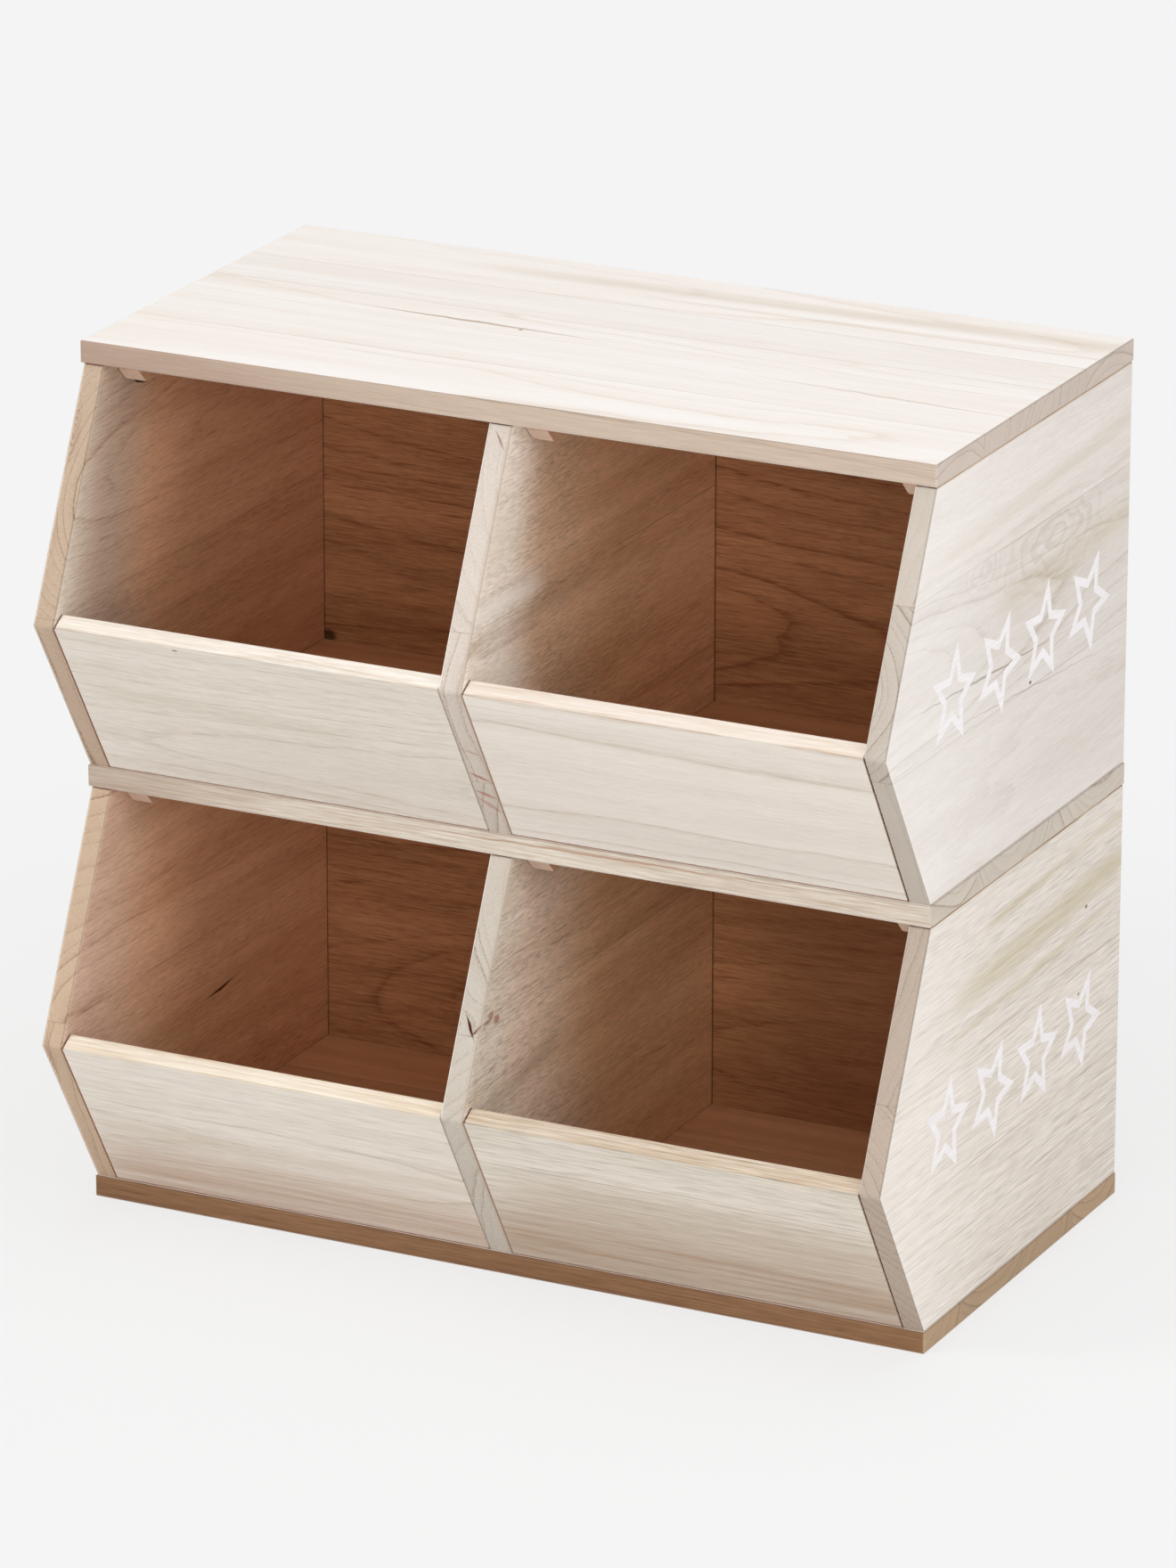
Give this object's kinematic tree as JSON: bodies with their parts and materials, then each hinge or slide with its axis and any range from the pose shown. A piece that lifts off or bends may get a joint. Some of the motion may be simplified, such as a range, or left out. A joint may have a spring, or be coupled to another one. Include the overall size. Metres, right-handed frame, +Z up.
{
  "type": "kids toy shelf",
  "caption": "Low wooden shelf of stacking open bins with slanted fronts, a divider in each bin and a loose lid board.",
  "frame": {"origin": "on the floor, at the centre of the bounding box", "axes": "+X to the right seen from the front, +Y from the open front to the back, +Z up"},
  "size_m": [0.6, 0.374, 0.588],
  "materials": {
    "lid_timber": "sanded bare paulownia",
    "board_timber": "sanded bare paulownia",
    "side_timber": "sanded bare paulownia",
    "divider_timber": "sanded bare paulownia",
    "front_timber": "sanded bare paulownia",
    "back_timber": "sanded bare paulownia",
    "block_timber": "sawn bare paulownia",
    "dowel_timber": "turned beech",
    "zinc_steel": "zinc plated",
    "dark_steel": "dark plated"
  },
  "bodies": {
    "lower_bin": {"lower_base_board": "board_timber", "lower_left_side": "side_timber", "lower_right_side": "side_timber", "lower_divider": "divider_timber", "lower_left_front": "front_timber", "lower_right_front": "front_timber", "lower_back_board": "back_timber", "lower_base_screws": "zinc_steel", "lower_front_dowels": "dowel_timber", "lower_back_pins": "zinc_steel"},
    "upper_bin": {"upper_base_board": "board_timber", "upper_left_side": "side_timber", "upper_right_side": "side_timber", "upper_divider": "divider_timber", "upper_left_front": "front_timber", "upper_right_front": "front_timber", "upper_back_board": "back_timber", "upper_base_screws": "zinc_steel", "upper_front_dowels": "dowel_timber", "upper_back_pins": "zinc_steel", "upper_block_front_left": "block_timber", "upper_block_front_middle": "block_timber", "upper_block_front_right": "block_timber", "upper_block_back_left": "block_timber", "upper_block_back_middle": "block_timber", "upper_block_back_right": "block_timber", "upper_block_screws": "dark_steel"},
    "lid": {"lid_board": "lid_timber", "lid_block_front_left": "block_timber", "lid_block_front_middle": "block_timber", "lid_block_front_right": "block_timber", "lid_block_back_left": "block_timber", "lid_block_back_middle": "block_timber", "lid_block_back_right": "block_timber", "lid_block_screws": "dark_steel"}
  },
  "joints": [
    {"name": "upper_bin_lift", "type": "slide", "parent": "lower_bin", "child": "upper_bin", "axis": [0, 0, 1], "range_m": [0, 0.1]},
    {"name": "lid_lift", "type": "slide", "parent": "upper_bin", "child": "lid", "axis": [0, 0, 1], "range_m": [0, 0.1]}
  ]
}
